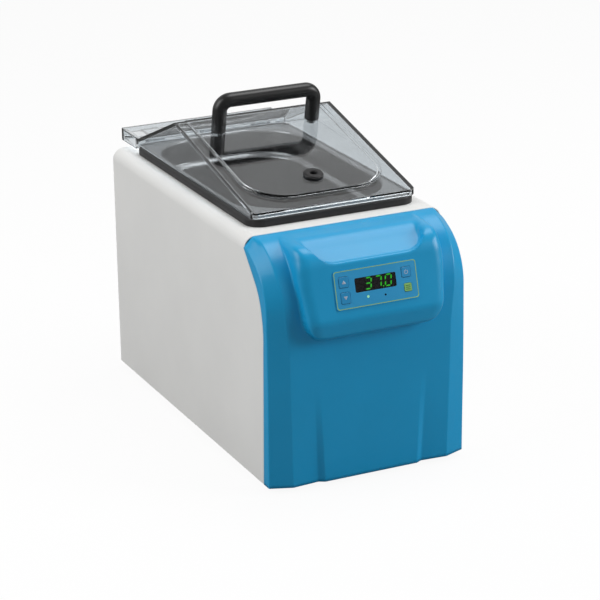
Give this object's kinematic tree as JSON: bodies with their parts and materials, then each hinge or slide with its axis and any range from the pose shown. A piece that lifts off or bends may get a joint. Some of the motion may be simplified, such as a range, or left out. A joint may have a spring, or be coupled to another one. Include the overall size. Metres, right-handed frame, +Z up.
{
  "type": "digital water bath",
  "caption": "Heated water bath: sheet-metal housing with moulded front cover, deep-drawn tank, digital control panel and hinged clear gabled lid with handle.",
  "frame": {"origin": "middle of the footprint on the plane the rubber feet stand on", "axes": "+X to the right seen from the front, -Y towards the front with the control panel, +Z up"},
  "size_m": [0.181, 0.3686, 0.2896],
  "materials": {
    "housing_white": "off-white textured powder coat",
    "cover_blue": "satin blue moulded plastic",
    "label_blue": "printed polyester label, thin lime border",
    "key_blue": "embossed blue key",
    "key_lime": "embossed lime key",
    "window_dark": "smoked clear window",
    "digit_green": "lit green segments",
    "module_black": "black display face",
    "led_green": "lit green lens",
    "led_dark": "unlit dark lens",
    "board_green": "circuit board",
    "black_plastic": "black moulded plastic",
    "tank_steel": "deep-drawn stainless steel, satin",
    "zinc_steel": "zinc-plated steel",
    "gasket_black": "black moulded rubber",
    "lid_clear": "clear polycarbonate",
    "handle_black": "black satin plastic",
    "foam_grey": "insulating felt",
    "silicone_orange": "silicone heater mat",
    "lead_black": "insulated leads",
    "lead_grey": "insulated leads",
    "core_steel": "laminated core",
    "heatsink_aluminium": "extruded aluminium",
    "stainless": "stainless steel",
    "brass_plated": "plated brass",
    "fuse_glass": "glass cartridge",
    "terminal_green": "terminal block",
    "capacitor_blue": "capacitor sleeve",
    "relay_white": "relay case"
  },
  "bodies": {
    "base": {"outer_housing": "housing_white", "base_plate": "zinc_steel", "rear_panel": "housing_white", "front_cover": "cover_blue", "control_label": "label_blue", "display_window": "window_dark", "display_digits": "digit_green", "display_module": "module_black", "led_heat": "led_green", "led_alarm": "led_dark", "control_board": "board_green", "board_screws": "stainless", "key_switches": "black_plastic", "tank": "tank_steel", "tank_gasket": "gasket_black", "tank_clamps": "zinc_steel", "insulation_jacket": "foam_grey", "heater_mat": "silicone_orange", "insulation_pad": "foam_grey", "thermal_cutout": "black_plastic", "temperature_probe": "stainless", "probe_clip": "stainless", "standoffs": "brass_plated", "power_board": "board_green", "power_board_screws": "stainless", "transformer": "core_steel", "power_relay": "relay_white", "triac": "black_plastic", "triac_heatsink": "heatsink_aluminium", "terminal_block": "terminal_green", "capacitors": "capacitor_blue", "heater_leads": "lead_grey", "inlet_leads": "lead_black", "signal_cable": "lead_grey", "sensor_lead": "lead_grey", "mains_inlet": "black_plastic", "inlet_pins": "brass_plated", "inlet_screws": "stainless", "hinge_base": "lid_clear", "hinge_pin": "stainless", "hinge_screws": "stainless", "rubber_feet": "gasket_black", "feet_screws": "stainless", "cover_screws": "stainless", "rear_screws": "stainless"},
    "lid": {"lid_shell": "lid_clear", "lid_grommet": "gasket_black", "handle": "handle_black", "handle_screws": "stainless"},
    "key_up": {"key_up": "key_blue"},
    "key_down": {"key_down": "key_blue"},
    "key_set": {"key_set": "key_lime"},
    "key_power": {"key_power": "key_blue"},
    "fuse_drawer": {"fuse_drawer": "black_plastic", "cartridge_fuse": "fuse_glass"}
  },
  "joints": [
    {"name": "lid_hinge", "type": "hinge", "parent": "base", "child": "lid", "pos_m": [0, 0.1765, 0.218], "axis": [-1, 0, 0], "range_deg": [0, 95]},
    {"name": "key_up_press", "type": "slide", "parent": "base", "child": "key_up", "axis": [0, 0.965, -0.2622], "range_m": [0, 0.0005], "stiffness_N_per_m": 1500},
    {"name": "key_down_press", "type": "slide", "parent": "base", "child": "key_down", "axis": [0, 0.965, -0.2622], "range_m": [0, 0.0005], "stiffness_N_per_m": 1500},
    {"name": "key_set_press", "type": "slide", "parent": "base", "child": "key_set", "axis": [0, 0.965, -0.2622], "range_m": [0, 0.0005], "stiffness_N_per_m": 1500},
    {"name": "key_power_press", "type": "slide", "parent": "base", "child": "key_power", "axis": [0, 0.965, -0.2622], "range_m": [0, 0.0005], "stiffness_N_per_m": 1500},
    {"name": "fuse_drawer_slide", "type": "slide", "parent": "base", "child": "fuse_drawer", "axis": [0, 1, 0], "range_m": [0, 0.015]}
  ]
}
